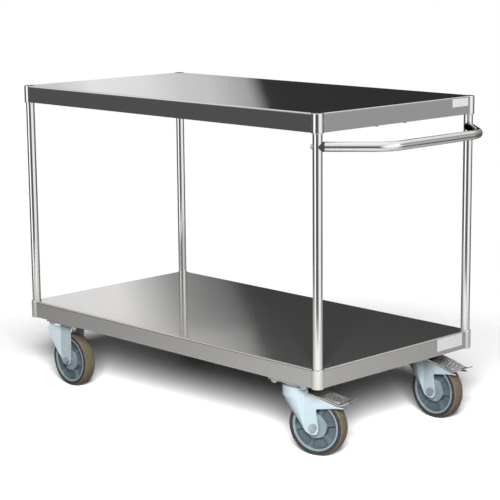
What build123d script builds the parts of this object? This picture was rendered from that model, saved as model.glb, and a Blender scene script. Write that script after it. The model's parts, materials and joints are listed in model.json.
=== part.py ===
from build123d import *
import math
import os

# Two-deck stainless steel table trolley with a tubular push handle, two fixed castors
# and two braked swivel castors at the handle end.
# Millimetres. X runs along the trolley towards the handle, Y towards the back, Z up.
# The origin is on the floor under the middle of the whole outline.

# Decks
deck_length = 1200.0
deck_width = 618.0
fascia_height = 49.0
sheet = 1.5
deck_edge_radius = 5.0
hem_height = 10.0
castor_height = 200.0
channel_drop = 3.0
deck_spacing = 653.0

# Posts and corner sleeves
post_radius = 12.5
tube_wall = 1.5
post_inset = 11.5
sleeve_radius = 16.0
sleeve_drop = 2.0
sleeve_floor = 5.0
weld_gap = 0.1

# Push handle
handle_radius = 12.5
handle_drop = 84.0
handle_reach = 135.0
handle_inward = 120.0
handle_bend_radius = 90.0
handle_start = 18.0
handle_end_wall = 6.0
handle_bolt_radius = 4.0

# Stiffening channels
stiffener_half_width = 56.0
stiffener_length = 1148.0
stiffener_depth = 54.5
channel_width = 150.0
channel_sheet = 2.0
channel_flange = 8.0
channel_length = 600.0

# Labels, plain
upper_label = (66.0, 22.0)
upper_label_centre = (248.0, -15.0)
lower_label = (106.0, 34.0)
lower_label_centre = (217.0, -20.0)
label_thickness = 0.4

# Castor mounting
plate_inset_x = 125.0
plate_inset_y = 60.0
plate_size = (135.0, 105.0, 4.0)
plate_corner = 8.0
hole_spacing = (105.0, 75.0)
mount_bolt_radius = 5.0
mount_hole_radius = 5.5
mount_nut_flats = 17.0
mount_nut_height = 8.0

# Wheel
wheel_radius = 80.0
tyre_half_width = 20.0
tyre_inner_radius = 66.6
rim_radius = 66.5
rim_half_width = 19.0
rim_lip_radius = 61.0
hub_radius = 32.0
hub_half_width = 17.5
web_half_thickness = 4.0
rib_count = 6
rib_thickness = 7.0
rib_half_width = 14.5
bush_radius = 15.0
bush_half_width = 23.0
axle_radius = 6.0
running_gap = 0.05

# Fork, measured from the axle: u runs back along the wheel, z is height above the floor
fork_half_width = 27.0
fork_plate = 3.0
fold_u = -28.0
wing_front_u = -80.0
wing_angle = 26.0
leg_front_u = -31.0
trail = 57.0
head_radius = 44.0
head_skirt_bottom = 158.0
skirt_toe = (-14.0, 27.0, 66.0)
head_top = 185.0
head_thickness = 3.0
kingpin_radius = 8.0
axle_flats = 19.0
axle_head_height = 7.5
axle_nut_height = 10.0

# Brake pedal
pedal_half_width = 34.0
pedal_plate = 2.5
pedal_pivot = (-21.0, 165.5)
pedal_pin_radius = 3.0
shoe_gap = 3.2

# Derived positions
lower_top = castor_height + channel_drop + fascia_height
upper_top = lower_top + deck_spacing
post_x = deck_length / 2 - post_inset
post_y = deck_width / 2 - post_inset
handle_z = upper_top - handle_drop
handle_angle = math.degrees(math.atan2(handle_inward, handle_reach))
outline_front = post_x + handle_reach + handle_radius
outline_rear = post_x + sleeve_radius
deck_x = (outline_rear - outline_front) / 2
plate_x = deck_length / 2 - plate_inset_x
plate_y = deck_width / 2 - plate_inset_y
axle_z = wheel_radius

corners = {
    "front_left": (-1, -1),
    "front_right": (1, -1),
    "back_left": (-1, 1),
    "back_right": (1, 1),
}
swivel_heading = {"front_right": 15.6, "back_right": 0.0}
wheel_turn = {"front_right": -11.0, "back_right": 7.0, "front_left": 12.0, "back_left": 30.0}


# ---------------------------------------------------------------- helpers

def save(name, shape):
    """Write one node, moved so the origin lies under the middle of the outline."""
    export_step(Pos(deck_x, 0, 0) * shape, "parts/" + name + ".step")


def upright(radius, bottom, top):
    """A cylinder standing on the Z axis between two heights."""
    return Pos(0, 0, (bottom + top) / 2) * Cylinder(radius, top - bottom)


def across(radius, start, end):
    """A cylinder lying on the Y axis between two positions."""
    return Pos(0, (start + end) / 2, 0) * Rot(90, 0, 0) * Cylinder(radius, end - start)


def block(x_range, y_range, z_range):
    """A box given by its limits."""
    size = [r[1] - r[0] for r in (x_range, y_range, z_range)]
    middle = [(r[0] + r[1]) / 2 for r in (x_range, y_range, z_range)]
    return Pos(*middle) * Box(*size)


def side_prism(corners, half_width):
    """Extrude a side-view outline to both sides; a corner is (u, z) or (u, z, radius)."""
    outline = make_face(Polyline([corner[:2] for corner in corners], close=True))
    for u, z, *radius in corners:
        if radius:
            nearest = outline.vertices().sort_by_distance((u, z, 0))[0]
            outline = fillet(nearest, radius[0])
    return extrude(Plane.XZ * outline, half_width, both=True)


def hexagon(flats, bottom, top):
    """A hexagonal prism standing on the Z axis, with lightly chamfered corners."""
    prism = extrude(RegularPolygon(flats / 2, 6, major_radius=False), top - bottom)
    prism = Pos(0, 0, bottom) * prism
    middle = (bottom + top) / 2
    rounding = Pos(0, 0, middle) * Sphere(math.hypot(flats * 0.56, (top - bottom) / 2))
    return prism & rounding


def group(shapes):
    """Several separate solids in one node."""
    return Compound([solid for shape in shapes for solid in shape.solids()])


# ---------------------------------------------------------------- decks

def deck(top):
    """A folded sheet tray: flat top, rolled edge, four fascias with an inward hem."""
    bottom = top - fascia_height
    outer = block(
        (-deck_length / 2, deck_length / 2), (-deck_width / 2, deck_width / 2), (bottom, top)
    )
    outer = fillet(outer.faces().sort_by(Axis.Z)[-1].edges(), deck_edge_radius)
    inner = block(
        (-deck_length / 2 + sheet, deck_length / 2 - sheet),
        (-deck_width / 2 + sheet, deck_width / 2 - sheet),
        (bottom - 1, top - sheet),
    )
    inner = fillet(inner.faces().sort_by(Axis.Z)[-1].edges(), deck_edge_radius - sheet)
    hem_x = deck_length / 2 - sheet
    hem_y = deck_width / 2 - sheet
    hem = block((-hem_x, hem_x), (-hem_y, hem_y), (bottom, bottom + hem_height))
    hem -= block(
        (-hem_x + sheet, hem_x - sheet),
        (-hem_y + sheet, hem_y - sheet),
        (bottom - 1, bottom + hem_height + 1),
    )
    tray = outer - inner + hem
    for sx, sy in corners.values():
        notch = upright(sleeve_radius + weld_gap, bottom - 1, top + 1)
        notch += block((0, 40), (0, 40), (bottom - 1, top + 1))
        turn = {(1, 1): 0, (-1, 1): 90, (-1, -1): 180, (1, -1): 270}[(sx, sy)]
        tray -= Pos(sx * post_x, sy * post_y, 0) * Rot(0, 0, turn) * notch
    return tray


def upper_stiffener():
    """A downward-facing channel welded along the middle of the upper deck."""
    top = upper_top - sheet
    outer = block(
        (-stiffener_length / 2, stiffener_length / 2),
        (-stiffener_half_width, stiffener_half_width),
        (top - stiffener_depth, top),
    )
    inner = block(
        (-stiffener_length / 2 - 1, stiffener_length / 2 + 1),
        (-stiffener_half_width + sheet, stiffener_half_width - sheet),
        (top - stiffener_depth - 1, top - sheet),
    )
    return outer - inner


def castor_channel(side):
    """A hat-section cross member under the lower deck that carries two castors."""
    top = lower_top - sheet
    half = channel_width / 2
    reach = channel_length / 2
    hat = block((-half, half), (-reach, reach), (castor_height, top))
    hat -= block(
        (-half + channel_sheet, half - channel_sheet),
        (-reach - 1, reach + 1),
        (castor_height + channel_sheet, top + 1),
    )
    hat += block(
        (half, half + channel_flange), (-reach, reach), (top - channel_sheet, top)
    )
    hat += block(
        (-half - channel_flange, -half), (-reach, reach), (top - channel_sheet, top)
    )
    for sy in (-1, 1):
        for dx, dy in plate_hole_places():
            hole = upright(mount_hole_radius, castor_height - 1, castor_height + 4)
            hat -= Pos(dx, sy * plate_y + dy, 0) * hole
    return Pos(side * plate_x, 0, 0) * hat


# ---------------------------------------------------------------- posts and handle

def sleeve(bottom, top, closed_at_top):
    """A corner sleeve with one closed end and a socket for the post."""
    body = upright(sleeve_radius, bottom, top)
    ends = body.faces().filter_by(Axis.Z).sort_by(Axis.Z)
    body = fillet(ends[-1].edges() + ends[0].edges(), 2.0)
    if closed_at_top:
        socket = upright(post_radius + weld_gap, bottom - 1, top - sleeve_floor)
    else:
        socket = upright(post_radius + weld_gap, bottom + sleeve_floor, top + 1)
    return body - socket


def upper_sleeve():
    return sleeve(upper_top - fascia_height - sleeve_drop, upper_top, True)


def lower_sleeve():
    return sleeve(lower_top - fascia_height - sleeve_drop, lower_top, False)


def post(carries_handle, side_y):
    """A round tube between the two sleeves, drilled where the handle is bolted on."""
    bottom = lower_top - fascia_height - sleeve_drop + sleeve_floor
    top = upper_top - sleeve_floor
    tube = upright(post_radius, bottom, top) - upright(
        post_radius - tube_wall, bottom - 1, top + 1
    )
    if carries_handle:
        drill = Rot(0, 90, 0) * Cylinder(handle_bolt_radius + 0.25, 60)
        tube -= Pos(0, 0, handle_z) * Rot(0, 0, -side_y * handle_angle) * drill
    return tube


def handle_path():
    """The centre line of the handle: two slanting legs and a straight run between."""
    lean = math.radians(handle_angle)
    start_x = post_x + handle_start * math.cos(lean)
    start_y = post_y - handle_start * math.sin(lean)
    outer_x = post_x + handle_reach
    outer_y = post_y - handle_inward
    points = [
        (start_x, -start_y, handle_z),
        (outer_x, -outer_y, handle_z),
        (outer_x, outer_y, handle_z),
        (start_x, start_y, handle_z),
    ]
    return FilletPolyline(*points, radius=handle_bend_radius)


def push_handle():
    """A bent tube with a drilled wall closing each end."""
    path = handle_path()
    section = Plane(origin=path @ 0, z_dir=path % 0)
    outer = sweep(section * Circle(handle_radius), path)
    inner = sweep(section * Circle(handle_radius - tube_wall), path)
    handle = outer - inner
    for side_y in (-1, 1):
        wall = Cylinder(handle_radius - tube_wall, handle_end_wall)
        wall -= Cylinder(handle_bolt_radius + weld_gap, handle_end_wall + 2)
        wall = Pos(handle_start + handle_end_wall / 2, 0, 0) * Rot(0, 90, 0) * wall
        handle += handle_joint_frame(side_y) * wall
    return handle


def handle_joint_frame(side_y):
    """Local frame at a post: X points along the handle's leg."""
    place = Pos(post_x, side_y * post_y, handle_z)
    return place * Rot(0, 0, -side_y * handle_angle)


def handle_spacer(side_y):
    """A saddle between the round post and the square-cut end of the handle."""
    body = Pos(handle_start / 2, 0, 0) * Rot(0, 90, 0) * Cylinder(handle_radius, handle_start)
    body -= Cylinder(post_radius + weld_gap, 4 * handle_radius)
    body -= Pos(handle_start / 2, 0, 0) * Rot(0, 90, 0) * Cylinder(
        handle_bolt_radius + 0.25, handle_start + 2
    )
    solid = body.solids().sort_by(Axis.X)[-1]
    return handle_joint_frame(side_y) * solid


def handle_bolt(side_y):
    """A round-headed bolt through the post into the end of the handle."""
    start = -post_radius - weld_gap
    head = Pos(start - 2.5, 0, 0) * Rot(0, 90, 0) * Cylinder(6.0, 5.0)
    head = fillet(head.edges().sort_by(Axis.X)[0], 2.0)
    head -= Pos(start - 4, 0, 0) * Rot(0, 90, 0) * extrude(
        RegularPolygon(2.5, 6, major_radius=False), 2.5, both=True
    )
    end = handle_start + handle_end_wall + 6
    shank = Pos((start + end) / 2, 0, 0) * Rot(0, 90, 0) * Cylinder(
        handle_bolt_radius, end - start
    )
    return handle_joint_frame(side_y) * (head + shank)


def label(size, centre, top):
    """A plain rectangular label stuck on the fascia at the handle end."""
    plate = Box(label_thickness, size[0], size[1])
    plate = fillet(plate.edges().filter_by(Axis.X), 2.0)
    return Pos(deck_length / 2 + label_thickness / 2, centre[0], top + centre[1]) * plate


# ---------------------------------------------------------------- castor mounting

def plate_hole_places():
    """The four hole centres of a castor plate."""
    x = hole_spacing[0] / 2
    y = hole_spacing[1] / 2
    return [(-x, -y), (-x, y), (x, -y), (x, y)]


def plate_blank():
    """The flat top plate with its four mounting holes."""
    length, width, thickness = plate_size
    plate = block(
        (-length / 2, length / 2),
        (-width / 2, width / 2),
        (castor_height - thickness, castor_height),
    )
    plate = fillet(plate.edges().filter_by(Axis.Z), plate_corner)
    for dx, dy in plate_hole_places():
        plate -= Pos(dx, dy, 0) * upright(mount_hole_radius, 190, 205)
    return plate


def swivel_plate():
    """Top plate with the upper ball race pressed down out of it."""
    race = upright(head_radius - 1, head_top + 3.5, castor_height - plate_size[2])
    race = fillet(race.edges().sort_by(Axis.Z)[0], 3.0)
    plate = plate_blank() + race
    plate -= upright(16.0, castor_height - 9, castor_height + 1)
    plate -= upright(kingpin_radius + weld_gap, head_top, castor_height)
    return plate


def kingpin():
    """The riveted pin that holds the fork under its plate."""
    pin = upright(kingpin_radius, 176.0, castor_height - 4)
    pin += upright(15.0, castor_height - 9, castor_height - 4)
    pin += upright(14.0, 176.0, head_top - head_thickness - 0.3)
    return pin


def ball_ring():
    """The ball cage that sits on the fork head."""
    return upright(38.0, head_top, head_top + 3.2) - upright(28.0, head_top - 1, head_top + 4)


def mount_bolt():
    """A hexagon bolt dropped through the channel and the plate."""
    seat = castor_height + channel_sheet
    return hexagon(mount_nut_flats, seat, seat + 6.4) + upright(
        mount_bolt_radius, castor_height - 15, seat + 1
    )


def mount_nut():
    """The nut under the plate."""
    top = castor_height - plate_size[2]
    nut = hexagon(mount_nut_flats, top - mount_nut_height, top)
    return nut - upright(mount_bolt_radius + running_gap, top - 20, top + 1)


def at_every_plate_hole(shape):
    """Copy a fastener to all sixteen castor plate holes."""
    copies = []
    for sx, sy in corners.values():
        for dx, dy in plate_hole_places():
            copies.append(Pos(sx * plate_x + dx, sy * plate_y + dy, 0) * shape)
    return group(copies)


# ---------------------------------------------------------------- forks

def folded_leg_sheet(rear_u, top):
    """One leg of a fixed fork as bent sheet: a flat strip and a wing flaring outwards."""
    lean = math.radians(wing_angle)
    spread = (fold_u - wing_front_u) * math.tan(lean)
    inner_v = fork_half_width - fork_plate
    inner_fold = fold_u - fork_plate * math.tan(lean / 2)
    inner_spread = (inner_fold - wing_front_u) * math.tan(lean)
    points = [
        (rear_u, fork_half_width),
        (fold_u, fork_half_width),
        (wing_front_u, fork_half_width + spread),
        (wing_front_u, inner_v + inner_spread),
        (inner_fold, inner_v),
        (rear_u, inner_v),
    ]
    outline = make_face(Polyline(points, close=True))
    return extrude(Pos(0, 0, 50) * outline, top - 50)


def finish_fork(legs):
    """Mirror a leg to the other side and bore both for the axle."""
    pair = legs + mirror(legs, about=Plane.XZ)
    return pair - Pos(0, 0, axle_z) * across(axle_radius + 0.1, -60, 60)


def fork_head():
    """Round top of a swivel fork with its rim turned down round the front."""
    under = head_top - head_thickness
    head = upright(head_radius, head_skirt_bottom, head_top)
    head = fillet(head.edges().sort_by(Axis.Z)[-1], 2.0)
    return head - upright(head_radius - fork_plate, head_skirt_bottom - 1, under)


def fork_cone(shrink):
    """Oblique cone from the head rim down to the axle, shrunk for its inner side."""
    toe_u, toe_radius, toe_z = skirt_toe
    return loft([
        Pos(0, 0, head_skirt_bottom) * Circle(head_radius - shrink).face(),
        Pos(trail + toe_u, 0, toe_z) * Circle(toe_radius - shrink).face(),
    ])


def ahead_of_joggle(inset):
    """The space in front of the slanted steps that join the cone to the flat legs."""
    step_u = trail + fold_u - inset
    reach = 2 * head_radius
    points = [
        (step_u, -fork_half_width),
        (step_u, fork_half_width),
        (step_u - reach, fork_half_width + reach),
        (step_u - reach, -fork_half_width - reach),
    ]
    return extrude(Pos(0, 0, 50) * make_face(Polyline(points, close=True)), head_top - 50)


def swivel_fork():
    """Fork of a swivel castor: round head, conical front and legs that reach back."""
    profile = [
        (leg_front_u, 184), (leg_front_u, 76), (-24, 66, 6), (-12, 60, 10), (8, 58.5, 12),
        (14, 72, 8), (5.5, 130, 6), (16, 131), (60, 138.5), (86, 140.5), (85, 143),
        (67, 145.4), (20, 159), (0, 165.4, 20), (-17, 168, 2), (-17, 184),
    ]
    inner = fork_half_width - fork_plate
    under_head = head_top - head_thickness
    leg = side_prism(profile, 60) & block((-40, 90), (inner, fork_half_width), (50, 190))
    pivot = Pos(pedal_pivot[0], 0, pedal_pivot[1]) * across(pedal_pin_radius + running_gap, 0, 60)
    front = fork_head() + (fork_cone(0) - fork_cone(fork_plate))
    filled_front = upright(head_radius, head_skirt_bottom, head_top - 1) + fork_cone(0)
    joggle = filled_front & ahead_of_joggle(0)
    joggle -= ahead_of_joggle(fork_plate * math.sqrt(2))
    front = (front & ahead_of_joggle(0)) + joggle
    front -= block((-100, 100), (-inner, inner), (50, head_skirt_bottom))
    front -= block((trail + leg_front_u, 100), (-inner, inner), (50, under_head))
    front += upright(head_radius, under_head, head_top - 0.5)
    fork = Pos(trail, 0, 0) * finish_fork(leg - pivot) + front
    fork -= upright(kingpin_radius + running_gap, head_top - 20, head_top + 5)
    return fork - upright(15.5, head_top - 20, under_head)


def fixed_fork():
    """Fork of a fixed castor, folded down from a web under its plate."""
    top = castor_height - plate_size[2]
    profile = [
        (-67, 182, 4), (-64, 168), (-46, 118), (-25, 76, 12), (-10, 66, 12), (9, 67, 9),
        (14, 84, 10), (17.5, 120), (17.5, top), (-26, top), (-28, 182, 3),
    ]
    legs = folded_leg_sheet(20, top) & side_prism(profile, 60)
    inner = fork_half_width - fork_plate
    return finish_fork(legs) + block((-26, 17.5), (-inner, inner), (top - fork_plate, top))


def axle_bolt():
    """Hexagon bolt through fork and hub, its head on the back side."""
    head = Pos(0, fork_half_width, 0) * Rot(-90, 0, 0) * hexagon(axle_flats, 0, axle_head_height)
    shank = across(axle_radius, -fork_half_width - axle_nut_height - 3, fork_half_width + 1)
    return Pos(0, 0, axle_z) * (head + shank)


def axle_nut():
    """Nut on the front side of the axle bolt."""
    nut = Pos(0, -fork_half_width, 0) * Rot(90, 0, 0) * hexagon(axle_flats, 0, axle_nut_height)
    nut -= across(axle_radius + running_gap, -60, 0)
    return Pos(0, 0, axle_z) * nut


# ---------------------------------------------------------------- brake pedal

def pedal_underside():
    """Lower side of the tread plate in the side view, front to rear, up to the foot lip."""
    return [(-15.8, 169.5), (24.2, 162.5, 120), (79.2, 147.6, 18), (100.2, 157.5)]


def pedal():
    """A curved tread plate with two hinge ears folded down inside the fork."""
    upper = [(-15, 172), (25, 165, 120), (80, 150.1, 15), (101, 160)]
    plate = side_prism(upper + pedal_underside()[::-1], pedal_half_width)
    blank = block((-20, 101), (-pedal_half_width, pedal_half_width), (120, 190))
    rear_edges = blank.edges().filter_by(Axis.Z).group_by(Axis.X)[-1]
    plate &= fillet(rear_edges, 9.0)
    ear_profile = [
        (-26.5, 171, 3), (-26.5, 160.5, 4), (-16, 160.5, 4), (4, 165.8), (4, 168), (-15, 171),
    ]
    plate += side_prism(ear_profile, 23.5) - side_prism(ear_profile, 21.0)
    pivot_u, pivot_z = pedal_pivot
    return plate - Pos(pivot_u, 0, pivot_z) * across(pedal_pin_radius + running_gap, -60, 60)


def pedal_pin():
    """Headed pin through both fork plates and the pedal ears."""
    pin = across(pedal_pin_radius, -fork_half_width - 2, fork_half_width + 2)
    for side in (-1, 1):
        start = side * fork_half_width
        end = side * (fork_half_width + 2)
        pin += across(4.5, min(start, end), max(start, end))
    return Pos(pedal_pivot[0], 0, pedal_pivot[1]) * pin


def brake_shoe():
    """The pad under the pedal, hollowed to the curve of the tyre."""
    space_below = side_prism(pedal_underside()[:3] + [(79.2, 120), (-15.8, 120)], 17)
    pad = space_below & block((12, 46), (-17, 17), (120, 180))
    return pad - Pos(0, 0, axle_z) * across(wheel_radius + shoe_gap, -30, 30)


# ---------------------------------------------------------------- wheel

def turned(outline):
    """Revolve a half section, drawn as (radius, offset along the axle), about the axle."""
    return Pos(0, 0, axle_z) * revolve(make_face(outline), Axis.Y)


def tyre():
    """Crowned rubber tread between two short sidewalls."""
    bead = (tyre_inner_radius, 18.5)
    side = (71.0, tyre_half_width)
    shoulder = (75.6, 18.4)
    outline = Polyline(bead, side, shoulder)
    outline += ThreePointArc(shoulder, (wheel_radius, 0), (shoulder[0], -shoulder[1]))
    outline += Polyline(
        (shoulder[0], -shoulder[1]), (side[0], -side[1]), (bead[0], -bead[1]), bead
    )
    return turned(outline)


def rim():
    """Moulded wheel body: barrel, web and hub, with ribs on both sides of the web."""
    barrel = [
        (rim_radius, -rim_half_width + 1), (rim_radius - 1, -rim_half_width),
        (rim_lip_radius + 1.5, -rim_half_width), (rim_lip_radius, -rim_half_width + 2),
        (rim_lip_radius - 2, -web_half_thickness), (hub_radius + 2, -web_half_thickness),
        (hub_radius, -hub_half_width + 2), (hub_radius - 2, -hub_half_width),
        (bush_radius + running_gap, -hub_half_width),
    ]
    body = turned(Polyline(barrel + [(r, -v) for r, v in reversed(barrel)], close=True))
    for number in range(rib_count):
        rib = block(
            (hub_radius - 3, rim_lip_radius + 1),
            (-rib_half_width, rib_half_width),
            (-rib_thickness / 2, rib_thickness / 2),
        )
        turn = Rot(0, number * 360 / rib_count, 0)
        body += Pos(0, 0, axle_z) * turn * rib
    return body


def bush():
    """Bearing sleeve pressed into the hub."""
    sleeve_body = across(bush_radius, -bush_half_width, bush_half_width)
    sleeve_body -= across(axle_radius + running_gap, -bush_half_width - 1, bush_half_width + 1)
    return Pos(0, 0, axle_z) * sleeve_body


# ---------------------------------------------------------------- write the nodes

os.makedirs("parts", exist_ok=True)

save("upper_deck", deck(upper_top))
save("lower_deck", deck(lower_top))
save("upper_stiffener", upper_stiffener())
save("castor_channel_left", castor_channel(-1))
save("castor_channel_right", castor_channel(1))

for corner, (sx, sy) in corners.items():
    place = Pos(sx * post_x, sy * post_y, 0)
    save("upper_sleeve_" + corner, place * upper_sleeve())
    save("lower_sleeve_" + corner, place * lower_sleeve())
    save("post_" + corner, place * post(sx > 0, sy))

save("push_handle", push_handle())
save("handle_spacers", group([handle_spacer(-1), handle_spacer(1)]))
save("handle_bolts", group([handle_bolt(-1), handle_bolt(1)]))
save("label_upper", label(upper_label, upper_label_centre, upper_top))
save("label_lower", label(lower_label, lower_label_centre, lower_top))

save("castor_bolts", at_every_plate_hole(mount_bolt()))
save("castor_nuts", at_every_plate_hole(mount_nut()))

fixed_bolts = []
fixed_nuts = []
kingpins = []
for corner, (sx, sy) in corners.items():
    mount = Pos(sx * plate_x, sy * plate_y, 0)
    if corner in swivel_heading:
        turned_mount = mount * Rot(0, 0, swivel_heading[corner])
        axle = turned_mount * Pos(trail, 0, 0)
        save("plate_" + corner, mount * swivel_plate())
        save("fork_" + corner, turned_mount * swivel_fork())
        save("ball_ring_" + corner, mount * ball_ring())
        save("axle_bolt_" + corner, axle * axle_bolt())
        save("axle_nut_" + corner, axle * axle_nut())
        save("pedal_" + corner, axle * pedal())
        save("pedal_pin_" + corner, axle * pedal_pin())
        save("brake_shoe_" + corner, axle * brake_shoe())
        kingpins.append(mount * kingpin())
    else:
        save("plate_" + corner, mount * plate_blank())
        save("fork_" + corner, mount * fixed_fork())
        axle = mount
        fixed_bolts.append(axle * axle_bolt())
        fixed_nuts.append(axle * axle_nut())
    spin = Pos(0, 0, axle_z) * Rot(0, wheel_turn[corner], 0) * Pos(0, 0, -axle_z)
    save("rim_" + corner, axle * spin * rim())
    save("tyre_" + corner, axle * tyre())
    save("bush_" + corner, axle * bush())

save("fixed_axle_bolts", group(fixed_bolts))
save("fixed_axle_nuts", group(fixed_nuts))
save("kingpins", group(kingpins))
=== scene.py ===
import json
import math
import bmesh
import bpy
from mathutils import Matrix, Vector


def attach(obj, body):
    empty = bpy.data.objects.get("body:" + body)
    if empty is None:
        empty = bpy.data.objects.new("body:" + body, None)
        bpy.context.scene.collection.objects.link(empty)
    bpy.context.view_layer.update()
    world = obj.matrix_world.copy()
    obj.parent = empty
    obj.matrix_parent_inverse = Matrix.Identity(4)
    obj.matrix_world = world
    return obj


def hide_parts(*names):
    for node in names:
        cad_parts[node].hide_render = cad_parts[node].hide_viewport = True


# Stainless table trolley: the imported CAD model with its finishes, detailed wheels and brake
# pedals, a pale floor and a soft studio round it. Lengths are in metres, apart from the outlines
# of the tyres and pedals, which are drawn in millimetres.

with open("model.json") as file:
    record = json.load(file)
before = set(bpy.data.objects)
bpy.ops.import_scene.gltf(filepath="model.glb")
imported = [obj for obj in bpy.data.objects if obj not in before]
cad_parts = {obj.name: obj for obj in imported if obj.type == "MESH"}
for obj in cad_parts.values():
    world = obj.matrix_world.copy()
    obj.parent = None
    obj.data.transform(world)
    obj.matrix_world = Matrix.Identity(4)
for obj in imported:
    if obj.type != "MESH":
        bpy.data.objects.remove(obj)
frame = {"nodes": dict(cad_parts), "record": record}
nodes = frame["nodes"]
joints = {joint["name"]: joint for joint in frame["record"]["behaviour"]["joints"]}
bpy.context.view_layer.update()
scene = bpy.context.scene

MM = 0.001
WHEELS = ("front_left", "front_right", "back_left", "back_right")
BRAKED = ("front_right", "back_right")
# How far each wheel has rolled at rest, in degrees: it sets where its ribs are.
WHEEL_TURN = {"front_right": 11.0, "back_right": -7.0, "front_left": -12.0, "back_left": -30.0}


# ---------------------------------------------------------------- node materials

NOISE_ROUGHNESS = 0.55
SMUDGE_SCALE = 3.0
SMUDGE_BAND = (0.4, 0.8)
GRAIN_DEPTH = 0.1 * MM
PLATING_DEPTH = 0.2 * MM
MOULDING_DEPTH = 0.3 * MM

# A pair of colours is blended by a noise. The heights are distances from the wheel's mid-plane.
# The pockets' colours are darker than those of the raised lip and hub: painted shade in the sunken
# pockets.
POCKET_SHADE_COLOURS = ((0.060, 0.082, 0.093), (0.075, 0.105, 0.117))
RAISED_COLOURS = ((0.170, 0.225, 0.248), (0.212, 0.266, 0.289))
RAISED_HEIGHTS = (13.5 * MM, 18.5 * MM)
TREAD_COLOURS = ((0.095, 0.079, 0.053), (0.137, 0.114, 0.079))
WALL_COLOURS = ((0.021, 0.019, 0.019), (0.038, 0.035, 0.033))
WALL_HEIGHTS = (17.2 * MM, 18.6 * MM)


class Material:
    """A principled material with short ways to add texture nodes."""

    def __init__(self, name, **sockets):
        self.material = bpy.data.materials.new(name)
        self.material.use_nodes = True
        self.tree = self.material.node_tree
        self.shader = self.tree.nodes["Principled BSDF"]
        self.coords = self.tree.nodes.new("ShaderNodeTexCoord").outputs["Object"]
        for socket, value in sockets.items():
            self.shader.inputs[socket].default_value = value

    def link(self, source, target):
        self.tree.links.new(source, target)

    def scaled(self, scale):
        """Object coordinates stretched by a different factor on each axis."""
        mapping = self.tree.nodes.new("ShaderNodeMapping")
        mapping.inputs["Scale"].default_value = scale
        self.link(self.coords, mapping.inputs["Vector"])
        return mapping.outputs["Vector"]

    def noise(self, scale, stretch=(1, 1, 1), detail=4.0):
        node = self.tree.nodes.new("ShaderNodeTexNoise")
        node.inputs["Scale"].default_value = scale
        node.inputs["Detail"].default_value = detail
        node.inputs["Roughness"].default_value = NOISE_ROUGHNESS
        self.link(self.scaled(stretch), node.inputs["Vector"])
        return node.outputs["Fac"]

    def math(self, operation, first, second):
        node = self.tree.nodes.new("ShaderNodeMath")
        node.operation = operation
        for socket, value in zip(node.inputs, (first, second)):
            if isinstance(value, (int, float)):
                socket.default_value = value
            else:
                self.link(value, socket)
        return node.outputs["Value"]

    def remap(self, source, low, high, start=0.3, end=0.7):
        """A value between low and high as the source goes from start to end."""
        node = self.tree.nodes.new("ShaderNodeMapRange")
        node.interpolation_type = "SMOOTHSTEP"
        values = (start, end, low, high)
        for socket, value in zip(("From Min", "From Max", "To Min", "To Max"), values):
            node.inputs[socket].default_value = value
        self.link(source, node.inputs["Value"])
        return node.outputs["Result"]

    def blend(self, factor, first, second):
        """A colour between two others, each a tuple or a node's output."""
        node = self.tree.nodes.new("ShaderNodeMix")
        node.data_type = "RGBA"
        self.link(factor, node.inputs[0])
        for socket, value in ((node.inputs[6], first), (node.inputs[7], second)):
            if isinstance(value, tuple):
                socket.default_value = (*value, 1.0)
            else:
                self.link(value, socket)
        return node.outputs[2]

    def mottle(self, source, colours):
        """A pair of colours blended over the middle of a noise's range."""
        return self.blend(self.remap(source, 0.0, 1.0), *colours)

    def paint(self, colour):
        self.link(colour, self.shader.inputs["Base Color"])

    def roughen(self, value):
        self.link(value, self.shader.inputs["Roughness"])

    def bump(self, height, strength, distance):
        node = self.tree.nodes.new("ShaderNodeBump")
        node.inputs["Strength"].default_value = strength
        node.inputs["Distance"].default_value = distance
        self.link(height, node.inputs["Height"])
        self.link(node.outputs["Normal"], self.shader.inputs["Normal"])

    def distance_from(self, point, axis):
        """Distance along an axis from a point, without its sign."""
        offset = self.tree.nodes.new("ShaderNodeVectorMath")
        offset.operation = "SUBTRACT"
        self.link(self.coords, offset.inputs[0])
        offset.inputs[1].default_value = point
        along = self.tree.nodes.new("ShaderNodeVectorMath")
        along.operation = "DOT_PRODUCT"
        self.link(offset.outputs["Vector"], along.inputs[0])
        along.inputs[1].default_value = axis
        return self.math("ABSOLUTE", along.outputs["Value"], 0.0)


def brushed_steel(name, colours, gloss, grain, stretch, relief=0.008, smudges=0.03):
    """Stainless steel with a fine directional grain and faint smudges."""
    made = Material(name, Metallic=1.0)
    lines = made.noise(grain, stretch, detail=2.0)
    smudge = made.noise(SMUDGE_SCALE)
    made.paint(made.mottle(lines, colours))
    grainy = made.remap(lines, *gloss)
    made.roughen(made.math("ADD", grainy, made.remap(smudge, 0.0, smudges, *SMUDGE_BAND)))
    made.bump(lines, relief, GRAIN_DEPTH)
    return made.material


def scatter(material, share):
    """Let a share of a steel's light scatter, as dull films and fine scratches do."""
    material.node_tree.nodes["Principled BSDF"].inputs["Metallic"].default_value = 1.0 - share


def zinc_plate(name, shade, metallic):
    """Clear zinc plating: pale, slightly blue, with soft blotches."""
    made = Material(name, Metallic=metallic)
    blotch = made.noise(60.0, detail=3.0)
    fine = made.noise(700.0, detail=2.0)
    lighter = tuple(min(1.0, value * 1.06) for value in shade)
    made.paint(made.mottle(blotch, (shade, lighter)))
    made.roughen(made.remap(fine, 0.30, 0.42))
    made.bump(fine, 0.06, PLATING_DEPTH)
    return made.material


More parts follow.
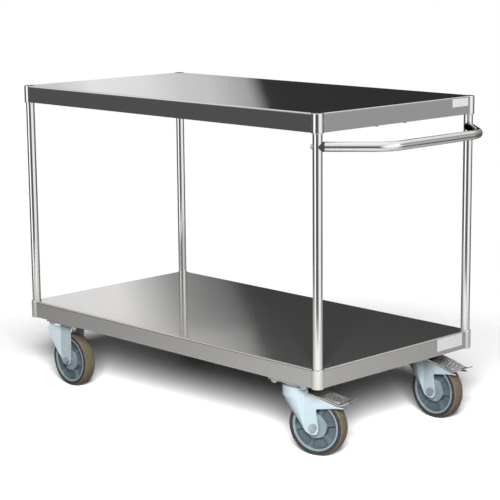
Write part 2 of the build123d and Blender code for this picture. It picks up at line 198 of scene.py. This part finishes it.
def wheel_plastic(corner, centre, axis):
    """Blue-grey moulded plastic, paler on the raised lip and hub, with painted shade darkening the
    pockets.
    """
    made = Material("wheel_plastic_" + corner, Metallic=0.0)
    raised = made.remap(made.distance_from(centre, axis), 0.0, 1.0, *RAISED_HEIGHTS)
    tone_noise = made.noise(28.0)
    fine = made.noise(900.0, detail=2.0)
    # The pockets get painted shade: a darker colour than the raised lip and hub.
    pocket_shade = made.mottle(tone_noise, POCKET_SHADE_COLOURS)
    raised_colour = made.mottle(tone_noise, RAISED_COLOURS)
    made.paint(made.blend(raised, pocket_shade, raised_colour))
    made.roughen(made.remap(fine, 0.36, 0.52))
    made.bump(fine, 0.15, MOULDING_DEPTH)
    return made.material


def tyre_rubber(corner, centre, axis):
    """Dark sidewalls and a worn brown-grey tread, told apart by distance from mid-plane."""
    made = Material("tyre_rubber_" + corner, Metallic=0.0)
    side = made.remap(made.distance_from(centre, axis), 0.0, 1.0, *WALL_HEIGHTS)
    scuff = made.noise(90.0, detail=5.0)
    tread = made.mottle(scuff, TREAD_COLOURS)
    wall = made.mottle(scuff, WALL_COLOURS)
    made.paint(made.blend(side, tread, wall))
    made.roughen(made.remap(scuff, 0.55, 0.75))
    made.bump(made.noise(1200.0, detail=2.0), 0.2, MOULDING_DEPTH)
    return made.material


def plain_plastic(name, colour, roughness):
    """Moulded or printed plastic of one colour with a faint grain."""
    made = Material(name, Metallic=0.0)
    grain = made.noise(800.0, detail=2.0)
    darker = tuple(value * 0.88 for value in colour)
    made.paint(made.mottle(grain, (darker, colour)))
    made.roughen(made.remap(grain, roughness, roughness + 0.1))
    made.bump(grain, 0.1, PLATING_DEPTH)
    return made.material


upper_deck_finish = brushed_steel(
    "upper_deck_steel", ((0.60, 0.60, 0.61), (0.64, 0.64, 0.65)), (0.05, 0.07), 150.0, (1, 14, 14)
)
# The lower deck is the same steel as the upper one, given a darker and browner colour: painted shade
# under the upper deck.
lower_deck_shaded_finish = brushed_steel(
    "lower_deck_steel", ((0.48, 0.47, 0.46), (0.53, 0.52, 0.51)), (0.08, 0.11), 150.0, (1, 14, 14)
)
scatter(lower_deck_shaded_finish, 0.11)
hidden_finish = brushed_steel(
    "channel_steel", ((0.42, 0.42, 0.41), (0.50, 0.50, 0.49)), (0.26, 0.34), 120.0, (1, 12, 12)
)
TUBE_COLOURS = ((0.75, 0.75, 0.73), (0.77, 0.77, 0.75))
tube_finish = brushed_steel(
    "tube_steel", TUBE_COLOURS, (0.100, 0.106), 260.0, (4, 4, 0.3), relief=0.0, smudges=0.015
)
handle_finish = brushed_steel(
    "handle_steel", TUBE_COLOURS, (0.090, 0.096), 260.0, (3, 0.5, 4), relief=0.0, smudges=0.015
)
sleeve_finish = brushed_steel(
    "sleeve_steel", ((0.72, 0.72, 0.70), (0.76, 0.76, 0.74)), (0.100, 0.115), 260.0, (2, 2, 3),
    relief=0.001,
)
pedal_finish = brushed_steel(
    "pedal_steel", ((0.50, 0.49, 0.47), (0.60, 0.59, 0.57)), (0.14, 0.22), 200.0, (6, 2, 6),
    relief=0.01,
)
scatter(pedal_finish, 0.22)
fork_finish = zinc_plate("fork_zinc", (0.44, 0.53, 0.57), 0.3)
bolt_finish = zinc_plate("bolt_zinc", (0.48, 0.51, 0.53), 0.8)
spacer_finish = plain_plastic("black_plastic", (0.02, 0.02, 0.02), 0.45)
shoe_finish = plain_plastic("brake_rubber", (0.035, 0.035, 0.035), 0.7)
label_finish = plain_plastic("label_white", (0.61, 0.61, 0.61), 0.35)

finishes = {
    "deck_steel": hidden_finish, "tube_steel": tube_finish, "sleeve_steel": sleeve_finish,
    "zinc_steel": fork_finish, "fastener_steel": bolt_finish, "bush_steel": bolt_finish,
    "pedal_steel": pedal_finish, "black_plastic": spacer_finish,
    "brake_rubber": shoe_finish, "label_white": label_finish,
}


def finish_node(name, material):
    """Give a CAD node one material in all its slots."""
    for mesh_slot in nodes[name].material_slots:
        mesh_slot.material = material


for part in frame["record"]["subparts"]:
    if part["material_slot"] in finishes:
        finish_node(part["node"], finishes[part["material_slot"]])
finish_node("upper_deck", upper_deck_finish)
finish_node("lower_deck", lower_deck_shaded_finish)
for corner in WHEELS:
    finish_node("plate_" + corner, bolt_finish)
finish_node("push_handle", handle_finish)


# ---------------------------------------------------------------- mesh helpers

SHARP_ANGLE = math.radians(50)


def smoothstep(start, end, value):
    """0 up to start, 1 from end on, and a smooth rise between them."""
    t = min(1.0, max(0.0, (value - start) / (end - start)))
    return t * t * (3 - 2 * t)


def add_piece(name, mesh, material, body):
    """Link a mesh as a finished piece riding on a CAD body."""
    mesh.materials.append(material)
    for face in mesh.polygons:
        face.use_smooth = True
    mesh.set_sharp_from_angle(angle=SHARP_ANGLE)
    piece = bpy.data.objects.new(name, mesh)
    scene.collection.objects.link(piece)
    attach(piece, body)
    return piece


def placed(mesh, matrix):
    """The same mesh, moved by a matrix."""
    mesh.transform(matrix)
    mesh.update()
    return mesh


def face_outward(mesh):
    """Turn every face of a closed mesh outward."""
    work = bmesh.new()
    work.from_mesh(mesh)
    bmesh.ops.recalc_face_normals(work, faces=work.faces)
    work.to_mesh(mesh)
    work.free()


def closed_rings(name, rings):
    """A mesh of rings of equal length, joined round and from the last ring to the first."""
    mesh = bpy.data.meshes.new(name)
    count = len(rings[0])
    points = [point for ring in rings for point in ring]
    faces = []
    for row in range(len(rings)):
        below = (row + 1) % len(rings)
        for step in range(count):
            beyond = (step + 1) % count
            faces.append((
                row * count + step, row * count + beyond,
                below * count + beyond, below * count + step,
            ))
    mesh.from_pydata(points, [], faces)
    face_outward(mesh)
    return mesh


def wheel_matrix(corner, turn=0.0):
    """Place at its axle a wheel drawn round the Y axis."""
    joint = joints["wheel_roll_" + corner]
    axis = Vector(joint["axis"])
    heading = math.atan2(-axis.x, axis.y)
    return (
        Matrix.Translation(Vector(joint["pos_m"]))
        @ Matrix.Rotation(heading, 4, "Z")
        @ Matrix.Rotation(-math.radians(turn), 4, "Y")
    )


# ---------------------------------------------------------------- wheels

WHEEL_STEPS = 216

RIM_RADIUS = 66.5 * MM
FACE_RADIUS = 66.0 * MM
LIP_RADIUS = 61.5 * MM
HUB_RADIUS = 32.0 * MM
BUSH_RADIUS = 15.0 * MM
# Heights of the moulded face, measured from the wheel's mid-plane.
RIM_HALF = 19.0 * MM
EDGE_HALF = RIM_HALF - 0.7 * MM
HUB_HALF = 17.5 * MM
RIB_HALF = 13.5 * MM
WEB_HALF = 4.0 * MM
RIB_COUNT = 6
RIB_WIDTH = 8.0 * MM
RIB_FILLET = 5.5 * MM
RIB_DIP = 3.0 * MM
# Radii between which the face rises to the lip, and falls away from the hub.
LIP_RISE = (LIP_RADIUS - 3.5 * MM, LIP_RADIUS + 0.4 * MM)
HUB_FALL = (HUB_RADIUS - 0.8 * MM, HUB_RADIUS + 3.5 * MM)
# Rings of the face: from this radius, to this radius, in this many steps.
FACE_RINGS = (
    (BUSH_RADIUS, HUB_RADIUS - MM, 4),
    (HUB_RADIUS - MM, HUB_RADIUS + 4 * MM, 9),
    (HUB_RADIUS + 4 * MM, LIP_RADIUS - 4 * MM, 12),
    (LIP_RADIUS - 4 * MM, LIP_RADIUS + MM, 10),
    (LIP_RADIUS + MM, FACE_RADIUS, 3),
)

# Half of the tyre's outline, in millimetres: (radius, half width) from the bead to the shoulder.
TYRE_SIDE = ((66.55, 18.2), (67.2, 18.9), (69.5, 19.3), (72.0, 19.2), (74.0, 18.7), (75.4, 17.9))
TYRE_RADIUS = 80.0
CROWN_RISE = 4.6
CROWN_FULLNESS = 0.75
CROWN_STEPS = 10


def circle_angles():
    """The angles of the points on one ring of a wheel."""
    return [2 * math.pi * step / WHEEL_STEPS for step in range(WHEEL_STEPS)]


def face_height(radius, angle):
    """Distance of the moulded face from the wheel's mid-plane."""
    sector = 2 * math.pi / RIB_COUNT
    from_rib = abs((angle + sector / 2) % sector - sector / 2) * radius
    half = RIB_WIDTH / 2
    rib = 1 - smoothstep(half, half + RIB_FILLET, from_rib)
    dip = RIB_DIP * math.sin(math.pi * smoothstep(HUB_RADIUS, LIP_RADIUS, radius))
    height = WEB_HALF + (RIB_HALF - dip - WEB_HALF) * rib
    lip = smoothstep(*LIP_RISE, radius)
    hub = 1 - smoothstep(*HUB_FALL, radius)
    height += (RIM_HALF - height) * lip
    return height + (HUB_HALF - height) * hub


def face_radii():
    """Radii of the face's rings, closer together where it bends."""
    radii = []
    for start, end, count in FACE_RINGS:
        radii += [start + (end - start) * step / count for step in range(count)]
    return radii + [FACE_RADIUS]


def add_wheel_piece(mesh, make_material, corner):
    """Add a piece of a wheel, in a material that knows the wheel's mid-plane."""
    joint = joints["wheel_roll_" + corner]
    material = make_material(corner, joint["pos_m"], joint["axis"])
    return add_piece(mesh.name, mesh, material, "wheel_" + corner)


def build_rim(corner):
    """Moulded wheel centre: lip, pockets, filleted ribs and a raised hub, alike on both sides."""
    angles = circle_angles()
    front = [
        [(r * math.cos(a), -face_height(r, a), r * math.sin(a)) for a in angles]
        for r in face_radii()
    ]
    edge, middle = [
        [(RIM_RADIUS * math.cos(a), -half, RIM_RADIUS * math.sin(a)) for a in angles]
        for half in (EDGE_HALF, 0.0)
    ]
    back = [[(x, -y, z) for x, y, z in ring] for ring in reversed(front + [edge])]
    mesh = closed_rings("rim_moulding_" + corner, front + [edge, middle] + back)
    placed(mesh, wheel_matrix(corner, WHEEL_TURN[corner]))
    piece = add_wheel_piece(mesh, wheel_plastic, corner)
    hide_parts("rim_" + corner)


def tyre_section():
    """Half of the tyre's outline from the bead nearly to the crown, in metres."""
    shoulder, half_width = TYRE_SIDE[-1]
    angles = [math.pi / 2 * step / CROWN_STEPS for step in range(1, CROWN_STEPS)]
    crown = [
        (shoulder + CROWN_RISE * math.sin(a), half_width * math.cos(a) ** CROWN_FULLNESS)
        for a in angles
    ]
    return [(r * MM, half * MM) for r, half in (*TYRE_SIDE, *crown)]


def build_tyre(corner):
    """Crowned tyre with soft shoulders."""
    half = tyre_section()
    outline = [(r, -w) for r, w in half] + [(TYRE_RADIUS * MM, 0.0)]
    outline += [(r, w) for r, w in reversed(half)]
    angles = circle_angles()
    rings = [[(r * math.cos(a), w, r * math.sin(a)) for a in angles] for r, w in outline]
    mesh = placed(closed_rings("tyre_tread_" + corner, rings), wheel_matrix(corner))
    piece = add_wheel_piece(mesh, tyre_rubber, corner)
    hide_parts("tyre_" + corner)


for corner in WHEELS:
    build_rim(corner)
    build_tyre(corner)


# ---------------------------------------------------------------- brake pedals

# All in millimetres. A corner is (distance out from the axle, height above the floor).
PEDAL_CORNERS = ((-15.0, 172.0), (25.0, 165.0), (80.0, 150.1), (101.0, 160.0))
PEDAL_EASING = (14.0, 8.0)
PEDAL_HALF_WIDTH = 34.0
PEDAL_CORNER_RADIUS = 9.0
PEDAL_SHEET = 2.5
PEDAL_SPACING = 1.4
PEDAL_HALF_STEPS = 24
BEND_STEPS = 8
EAR_CORNERS = (
    (-26.0, 170.5), (-26.5, 162.0), (-24.0, 160.5), (-16.0, 160.5), (4.0, 165.8), (-15.0, 171.0),
)
EAR_SIDES = (21.0, 23.5)
# The relief is a frame with rounded corners. A band is where an edge fades out, measured from
# the frame's line or from the middle of a bar.
PRESS_CENTRE = 48.0
PRESS_HEIGHT = 1.9
PRESS_HALF_LENGTH = 17.0
PRESS_HALF_WIDTH = 18.0
PRESS_CORNER_RADIUS = 5.0
FRAME_BAND = (1.0, 2.4)
INSIDE_BAND = (2.5, 4.5)
BAR_BAND = (1.6, 3.2)
BAR_PITCH = 11.0
BAR_SLANT = 0.4


def straight_run(start, end, spacing):
    """Evenly spaced points from start up to, but not with, end."""
    count = max(1, round((end - start).length / spacing))
    return [start.lerp(end, step / count) for step in range(count)]


def eased_line(corners, easing, spacing):
    """Points along a line through corners, each bend rounded off over its easing distance."""
    corners = [Vector(corner) for corner in corners]
    points = []
    start = corners[0]
    for before, corner, beyond, ease in zip(corners, corners[1:], corners[2:], easing):
        entry = corner + (before - corner).normalized() * ease
        leave = corner + (beyond - corner).normalized() * ease
        points += straight_run(start, entry, spacing)
        for t in [step / BEND_STEPS for step in range(BEND_STEPS)]:
            points.append((1 - t) ** 2 * entry + 2 * t * (1 - t) * corner + t * t * leave)
        start = leave
    return points + straight_run(start, corners[-1], spacing) + [corners[-1]]


def pressed_height(u, v):
    """Relief pressed up out of the tread plate: a rounded frame round slanting bars."""
    out_u = abs(u - PRESS_CENTRE) - PRESS_HALF_LENGTH
    out_v = abs(v) - PRESS_HALF_WIDTH
    outside = math.hypot(max(out_u, 0.0), max(out_v, 0.0)) + min(max(out_u, out_v), 0.0)
    outside -= PRESS_CORNER_RADIUS
    frame_line = 1 - smoothstep(*FRAME_BAND, abs(outside))
    inside = smoothstep(*INSIDE_BAND, -outside)
    from_bar = abs((u + BAR_SLANT * v) % BAR_PITCH - BAR_PITCH / 2)
    bar = 1 - smoothstep(*BAR_BAND, from_bar)
    return PRESS_HEIGHT * max(frame_line, inside * bar)


def tread_plate_rings():
    """Cross-sections of the tread plate from its hinge end to the foot lip."""
    line = eased_line(PEDAL_CORNERS, PEDAL_EASING, PEDAL_SPACING)
    corner_start = PEDAL_CORNERS[-1][0] - PEDAL_CORNER_RADIUS
    rings = []
    for index, point in enumerate(line):
        along = (line[min(index + 1, len(line) - 1)] - line[max(index - 1, 0)]).normalized()
        normal = Vector((-along.y, along.x))
        half = PEDAL_HALF_WIDTH
        past = min(PEDAL_CORNER_RADIUS, point.x - corner_start)
        if past > 0:
            half -= PEDAL_CORNER_RADIUS - math.sqrt(PEDAL_CORNER_RADIUS ** 2 - past ** 2)
        top = []
        bottom = []
        for v in [half * (step / PEDAL_HALF_STEPS - 1) for step in range(2 * PEDAL_HALF_STEPS + 1)]:
            high = point + normal * pressed_height(point.x, v)
            low = high - normal * PEDAL_SHEET
            top.append((high.x, v, high.y))
            bottom.append((low.x, v, low.y))
        rings.append(top + bottom[::-1])
    return rings


def slab(rings):
    """Points and faces of a slab made of rings, each a top row and a bottom row reversed."""
    size = len(rings[0])
    points = [point for ring in rings for point in ring]
    faces = []
    for row in range(len(rings) - 1):
        base = row * size
        for step in range(size):
            beyond = (step + 1) % size
            faces.append((base + step, base + beyond, base + size + beyond, base + size + step))
    for base in (0, (len(rings) - 1) * size):
        last = base + size - 1
        for step in range(size // 2 - 1):
            faces.append((base + step, base + step + 1, last - 1 - step, last - step))
    return points, faces


def ear(side):
    """Points and faces of one hinge ear of the pedal: flat sheet with a rounded lower corner."""
    count = len(EAR_CORNERS)
    points = [(u, side * v, z) for v in EAR_SIDES for u, z in EAR_CORNERS]
    faces = [tuple(range(count)), tuple(range(count, 2 * count))]
    for step in range(count):
        beyond = (step + 1) % count
        faces.append((step, beyond, count + beyond, count + step))
    return points, faces


def build_pedal(corner):
    """Tread plate with pressed relief, and its two hinge ears."""
    mesh = bpy.data.meshes.new("pedal_pressing_" + corner)
    points = []
    faces = []
    for solid_points, solid_faces in (slab(tread_plate_rings()), ear(-1), ear(1)):
        first = len(points)
        points += [tuple(value * MM for value in point) for point in solid_points]
        faces += [tuple(first + index for index in face) for face in solid_faces]
    mesh.from_pydata(points, [], faces)
    face_outward(mesh)
    axle_height = Vector(joints["wheel_roll_" + corner]["pos_m"]).z
    placed(mesh, wheel_matrix(corner) @ Matrix.Translation((0, 0, -axle_height)))
    piece = add_piece(mesh.name, mesh, pedal_finish, "brake_" + corner)
    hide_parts("pedal_" + corner)


for corner in BRAKED:
    build_pedal(corner)


# ---------------------------------------------------------------- floor

FLOOR_CENTRE = (-0.1, 0.05, 0.0)
FLOOR_RADIUS = 2.5
FLOOR_SIDES = 96
# The floor's shade for the camera, mirrored in the steel, and after light has scattered.
FLOOR_SEEN = (0.88, 0.88, 0.88)
FLOOR_IN_STEEL = (0.365, 0.365, 0.355)
FLOOR_BOUNCED = (0.05, 0.05, 0.05)
# Distances from its centre over which the floor fades out, for the camera and for all else.
FLOOR_FADE_SEEN = (0.85, 1.4)
FLOOR_FADE = (1.7, 2.4)


def floor_material():
    """Pale paint that fades out at the floor's rim and shows duller in the steel."""
    made = Material("studio_floor", Roughness=0.8)
    made.shader.inputs["Specular IOR Level"].default_value = 0.0
    path = made.tree.nodes.new("ShaderNodeLightPath")
    seen = path.outputs["Is Camera Ray"]
    bounced = made.math("GREATER_THAN", path.outputs["Diffuse Depth"], 0.5)
    unseen = made.blend(bounced, FLOOR_IN_STEEL, FLOOR_BOUNCED)
    made.paint(made.blend(seen, unseen, FLOOR_SEEN))
    length = made.tree.nodes.new("ShaderNodeVectorMath")
    length.operation = "LENGTH"
    made.link(made.coords, length.inputs[0])
    far_fade = made.remap(length.outputs["Value"], 0.0, 1.0, *FLOOR_FADE)
    near_fade = made.remap(length.outputs["Value"], 0.0, 1.0, *FLOOR_FADE_SEEN)
    fade = made.math("MAXIMUM", far_fade, made.math("MULTIPLY", seen, near_fade))
    clear = made.tree.nodes.new("ShaderNodeBsdfTransparent")
    mix = made.tree.nodes.new("ShaderNodeMixShader")
    made.link(fade, mix.inputs["Fac"])
    made.link(made.shader.outputs["BSDF"], mix.inputs[1])
    made.link(clear.outputs["BSDF"], mix.inputs[2])
    made.link(mix.outputs["Shader"], made.tree.nodes["Material Output"].inputs["Surface"])
    return made.material


def soft_floor():
    """A round floor whose rim can't be seen."""
    material = floor_material()
    mesh = bpy.data.meshes.new("studio_floor")
    work = bmesh.new()
    bmesh.ops.create_circle(work, cap_ends=True, segments=FLOOR_SIDES, radius=FLOOR_RADIUS)
    work.to_mesh(mesh)
    work.free()
    mesh.materials.append(material)
    floor = bpy.data.objects.new("studio_floor", mesh)
    floor.location = FLOOR_CENTRE
    scene.collection.objects.link(floor)
    return floor


# ---------------------------------------------------------------- lights and glowing cards

KEY_PLACE = (3.2, -3.2, 2.4)
KEY_AIM = (0.0, 0.0, 0.2)
KEY_SIZE = (1.7, 1.7)
# Name, place, aim, size, power, and whether the steel mirrors it.
SOFTBOXES = (
    ("top_softbox", (0.0, -0.4, 3.4), (0.0, 0.0, 0.0), (2.4, 2.4), 2.0, True),
    ("key_softbox", KEY_PLACE, KEY_AIM, KEY_SIZE, 490.0, False),
    ("left_softbox", (-3.0, -1.6, 2.6), (0.0, 0.0, 0.5), (1.2, 1.6), 3.0, True),
    ("right_softbox", (3.2, 1.2, 2.6), (0.4, 0.0, 0.5), (0.9, 1.6), 3.0, True),
    ("rear_fill", (-2.1, 2.3, 0.4), (0.0, 0.0, 0.4), (1.8, 0.6), 9.0, False),
)
# A second key that lights only the floor, so that the finishes can keep their own colours.
FLOOR_KEY = ("floor_softbox", KEY_PLACE, KEY_AIM, KEY_SIZE, 370.0, False)

CARD_CENTRE = Vector((-2.42, 2.32, 0.0))
CARD_LEFTWARD = Vector((-0.696, -0.718, 0.0))
CARD_LEFT = 1.6
CARD_RIGHT = -1.4
CARD_STRENGTH = 1.3
# How far across the brightness shifts per metre of height, as a share of the card's width.
CARD_LEAN = 0.11
# Name, lowest and highest point, and brightness by place across from left to right.
DECK_CARDS = (
    ("low_card", 0.0, 1.1, (
        (0.0, 0.82), (0.215, 0.86), (0.27, 0.54), (0.315, 0.29), (0.40, 0.135),
        (0.425, 0.028), (0.87, 0.024),
    )),
    ("high_card", 1.1, 3.0, (
        (0.0, 0.45), (0.10, 0.53), (0.15, 0.68), (0.24, 0.63), (0.29, 0.52), (0.34, 0.48),
        (0.40, 0.31), (0.425, 0.028), (0.87, 0.024),
    )),
)


def lit_only(thing, name, receivers):
    """Let a light or a glowing card reach no other objects than these."""
    group = bpy.data.collections.new(name)
    for receiver in receivers:
        group.objects.link(receiver)
    thing.light_linking.receiver_collection = group


def area_light(name, place, aim, size, power, in_steel):
    """A softbox; one that isn't in the steel lights the scene but isn't mirrored in it."""
    data = bpy.data.lights.new(name, "AREA")
    data.shape = "RECTANGLE"
    data.size, data.size_y = size
    data.energy = power
    light = bpy.data.objects.new(name, data)
    light.location = place
    light.rotation_euler = (Vector(aim) - Vector(place)).to_track_quat("-Z", "Y").to_euler()
    light.visible_camera = False
    light.visible_glossy = in_steel
    scene.collection.objects.link(light)
    return light


def card_material(name, stops, slant):
    """A glow that runs across the card through stops, shifted by slant from bottom to top."""
    material = bpy.data.materials.new(name)
    material.use_nodes = True
    tree = material.node_tree
    tree.nodes.clear()
    coords = tree.nodes.new("ShaderNodeTexCoord")
    split = tree.nodes.new("ShaderNodeSeparateXYZ")
    tilt = tree.nodes.new("ShaderNodeMath")
    tilt.operation = "MULTIPLY_ADD"
    tilt.inputs[1].default_value = slant
    ramp = tree.nodes.new("ShaderNodeValToRGB")
    ramp.color_ramp.interpolation = "LINEAR"
    while len(ramp.color_ramp.elements) < len(stops):
        ramp.color_ramp.elements.new(0.5)
    for element, (place, level) in zip(ramp.color_ramp.elements, stops):
        element.position = place
        element.color = (level, level, level, 1.0)
    glow = tree.nodes.new("ShaderNodeEmission")
    glow.inputs["Strength"].default_value = CARD_STRENGTH
    out = tree.nodes.new("ShaderNodeOutputMaterial")
    tree.links.new(coords.outputs["UV"], split.inputs["Vector"])
    tree.links.new(split.outputs["Y"], tilt.inputs[0])
    tree.links.new(split.outputs["X"], tilt.inputs[2])
    tree.links.new(tilt.outputs["Value"], ramp.inputs["Fac"])
    tree.links.new(ramp.outputs["Color"], glow.inputs["Color"])
    tree.links.new(glow.outputs["Emission"], out.inputs["Surface"])
    return material


def glowing_card(name, corners, stops, slant):
    """A card that is seen in reflections only."""
    material = card_material(name, stops, slant)
    mesh = bpy.data.meshes.new(name)
    mesh.from_pydata(corners, [], [(0, 1, 2, 3)])
    uv = mesh.uv_layers.new(name="across")
    for loop, place in zip(uv.data, ((0, 0), (1, 0), (1, 1), (0, 1))):
        loop.uv = place
    mesh.materials.append(material)
    card = bpy.data.objects.new(name, mesh)
    card.visible_camera = False
    card.visible_shadow = False
    card.visible_diffuse = False
    scene.collection.objects.link(card)
    return card


def deck_cards():
    """The two cards behind the trolley, one above the other, that only the decks mirror."""
    for name, low, high, stops in DECK_CARDS:
        corners = []
        for across, height in (
            (CARD_LEFT, low), (CARD_RIGHT, low), (CARD_RIGHT, high), (CARD_LEFT, high),
        ):
            corners.append(CARD_CENTRE + across * CARD_LEFTWARD + Vector((0, 0, height)))
        leaning = [(place + CARD_LEAN * low, level) for place, level in stops]
        card = glowing_card(name, corners, leaning, -CARD_LEAN * (high - low))
        lit_only(card, name + "_receivers", (nodes["upper_deck"], nodes["lower_deck"]))


# ---------------------------------------------------------------- room

UP = (0.0, 0.0, 1.0)
# Brightness of the room in the steel, from below the horizon to above it, and of its ceiling.
ROOM_LOW = 0.12
ROOM_HIGH = 0.35
HORIZON = (-0.1, 0.3)
CEILING = 0.7
CEILING_EDGE = (0.35, 0.7)
# Direction of a bright wall, where it starts and is full (as cosines), and its brightness.
ROOM_WALLS = (
    ((-0.244, -0.970, 0.0), 0.90, 0.995, 1.5),
    ((0.996, 0.087, 0.0), 0.74, 0.95, 1.0),
    ((0.670, 0.742, 0.0), 0.960, 0.985, 0.34),
)
ROOM_DIFFUSE = 0.02
BACKDROP = 1.0


class WorldNodes:
    """The world's node tree, with short ways to add what the room is made of."""

    def __init__(self, world):
        self.tree = world.node_tree
        self.tree.nodes.clear()
        self.direction = self.tree.nodes.new("ShaderNodeTexCoord").outputs["Generated"]

    def link(self, source, target):
        self.tree.links.new(source, target)

    def ramp(self, direction, start, end, low, high):
        """From low to high as the cosine to a direction goes from start to end."""
        along = self.tree.nodes.new("ShaderNodeVectorMath")
        along.operation = "DOT_PRODUCT"
        self.link(self.direction, along.inputs[0])
        along.inputs[1].default_value = direction
        node = self.tree.nodes.new("ShaderNodeMapRange")
        node.interpolation_type = "SMOOTHSTEP"
        values = (start, end, low, high)
        for socket, value in zip(("From Min", "From Max", "To Min", "To Max"), values):
            node.inputs[socket].default_value = value
        self.link(along.outputs["Value"], node.inputs["Value"])
        return node.outputs["Result"]

    def combine(self, operation, first, second):
        node = self.tree.nodes.new("ShaderNodeMath")
        node.operation = operation
        self.link(first, node.inputs[0])
        self.link(second, node.inputs[1])
        return node.outputs["Value"]

    def background(self, strength):
        """A white background of a fixed strength, or of one that comes from a node."""
        node = self.tree.nodes.new("ShaderNodeBackground")
        node.inputs["Color"].default_value = (1.0, 1.0, 1.0, 1.0)
        if isinstance(strength, float):
            node.inputs["Strength"].default_value = strength
        else:
            self.link(strength, node.inputs["Strength"])
        return node.outputs["Background"]

    def mix(self, factor, first, second):
        node = self.tree.nodes.new("ShaderNodeMixShader")
        self.link(factor, node.inputs["Fac"])
        self.link(first, node.inputs[1])
        self.link(second, node.inputs[2])
        return node.outputs["Shader"]


def studio_world():
    """White backdrop for the eye, a dim room for light, and bright walls for reflections."""
    world = bpy.data.worlds.new("studio")
    world.use_nodes = True
    tree = WorldNodes(world)
    room = tree.ramp(UP, *HORIZON, ROOM_LOW, ROOM_HIGH)
    room = tree.combine("ADD", room, tree.ramp(UP, *CEILING_EDGE, 0.0, CEILING))
    for direction, edge, core, level in ROOM_WALLS:
        room = tree.combine("ADD", room, tree.ramp(direction, edge, core, 0.0, level))
    path = tree.tree.nodes.new("ShaderNodeLightPath")
    mirrored = tree.combine("SUBTRACT", path.outputs["Is Glossy Ray"], path.outputs["Diffuse Depth"])
    unseen = tree.mix(mirrored, tree.background(ROOM_DIFFUSE), tree.background(room))
    seen = tree.mix(path.outputs["Is Camera Ray"], unseen, tree.background(BACKDROP))
    out = tree.tree.nodes.new("ShaderNodeOutputWorld")
    tree.link(seen, out.inputs["Surface"])
    scene.world = world


# ---------------------------------------------------------------- camera

CAMERA_PLACE = Vector((3.325, -3.248, 1.339))
CAMERA_YAW = math.radians(-45.91)
CAMERA_PITCH = math.radians(-10.81)
CAMERA_ROLL = math.radians(-0.53)
CAMERA_LENS = 119.0


def studio_camera():
    """The camera at the photograph's viewing angle."""
    forward = Vector((
        math.sin(CAMERA_YAW) * math.cos(CAMERA_PITCH),
        math.cos(CAMERA_YAW) * math.cos(CAMERA_PITCH),
        math.sin(CAMERA_PITCH),
    ))
    level = forward.cross(Vector(UP)).normalized()
    upward = level.cross(forward)
    right = math.cos(CAMERA_ROLL) * level + math.sin(CAMERA_ROLL) * upward
    up = math.cos(CAMERA_ROLL) * upward - math.sin(CAMERA_ROLL) * level
    turn = Matrix((right, up, -forward)).transposed().to_4x4()
    data = bpy.data.cameras.new("studio_camera")
    data.lens = CAMERA_LENS
    camera = bpy.data.objects.new("studio_camera", data)
    camera.matrix_world = Matrix.Translation(CAMERA_PLACE) @ turn
    scene.collection.objects.link(camera)
    scene.camera = camera


studio_floor = soft_floor()
studio_world()
studio_camera()
deck_cards()
for softbox in SOFTBOXES:
    area_light(*softbox)
lit_only(area_light(*FLOOR_KEY), "floor_receivers", (studio_floor,))
scene.view_settings.view_transform = "Standard"
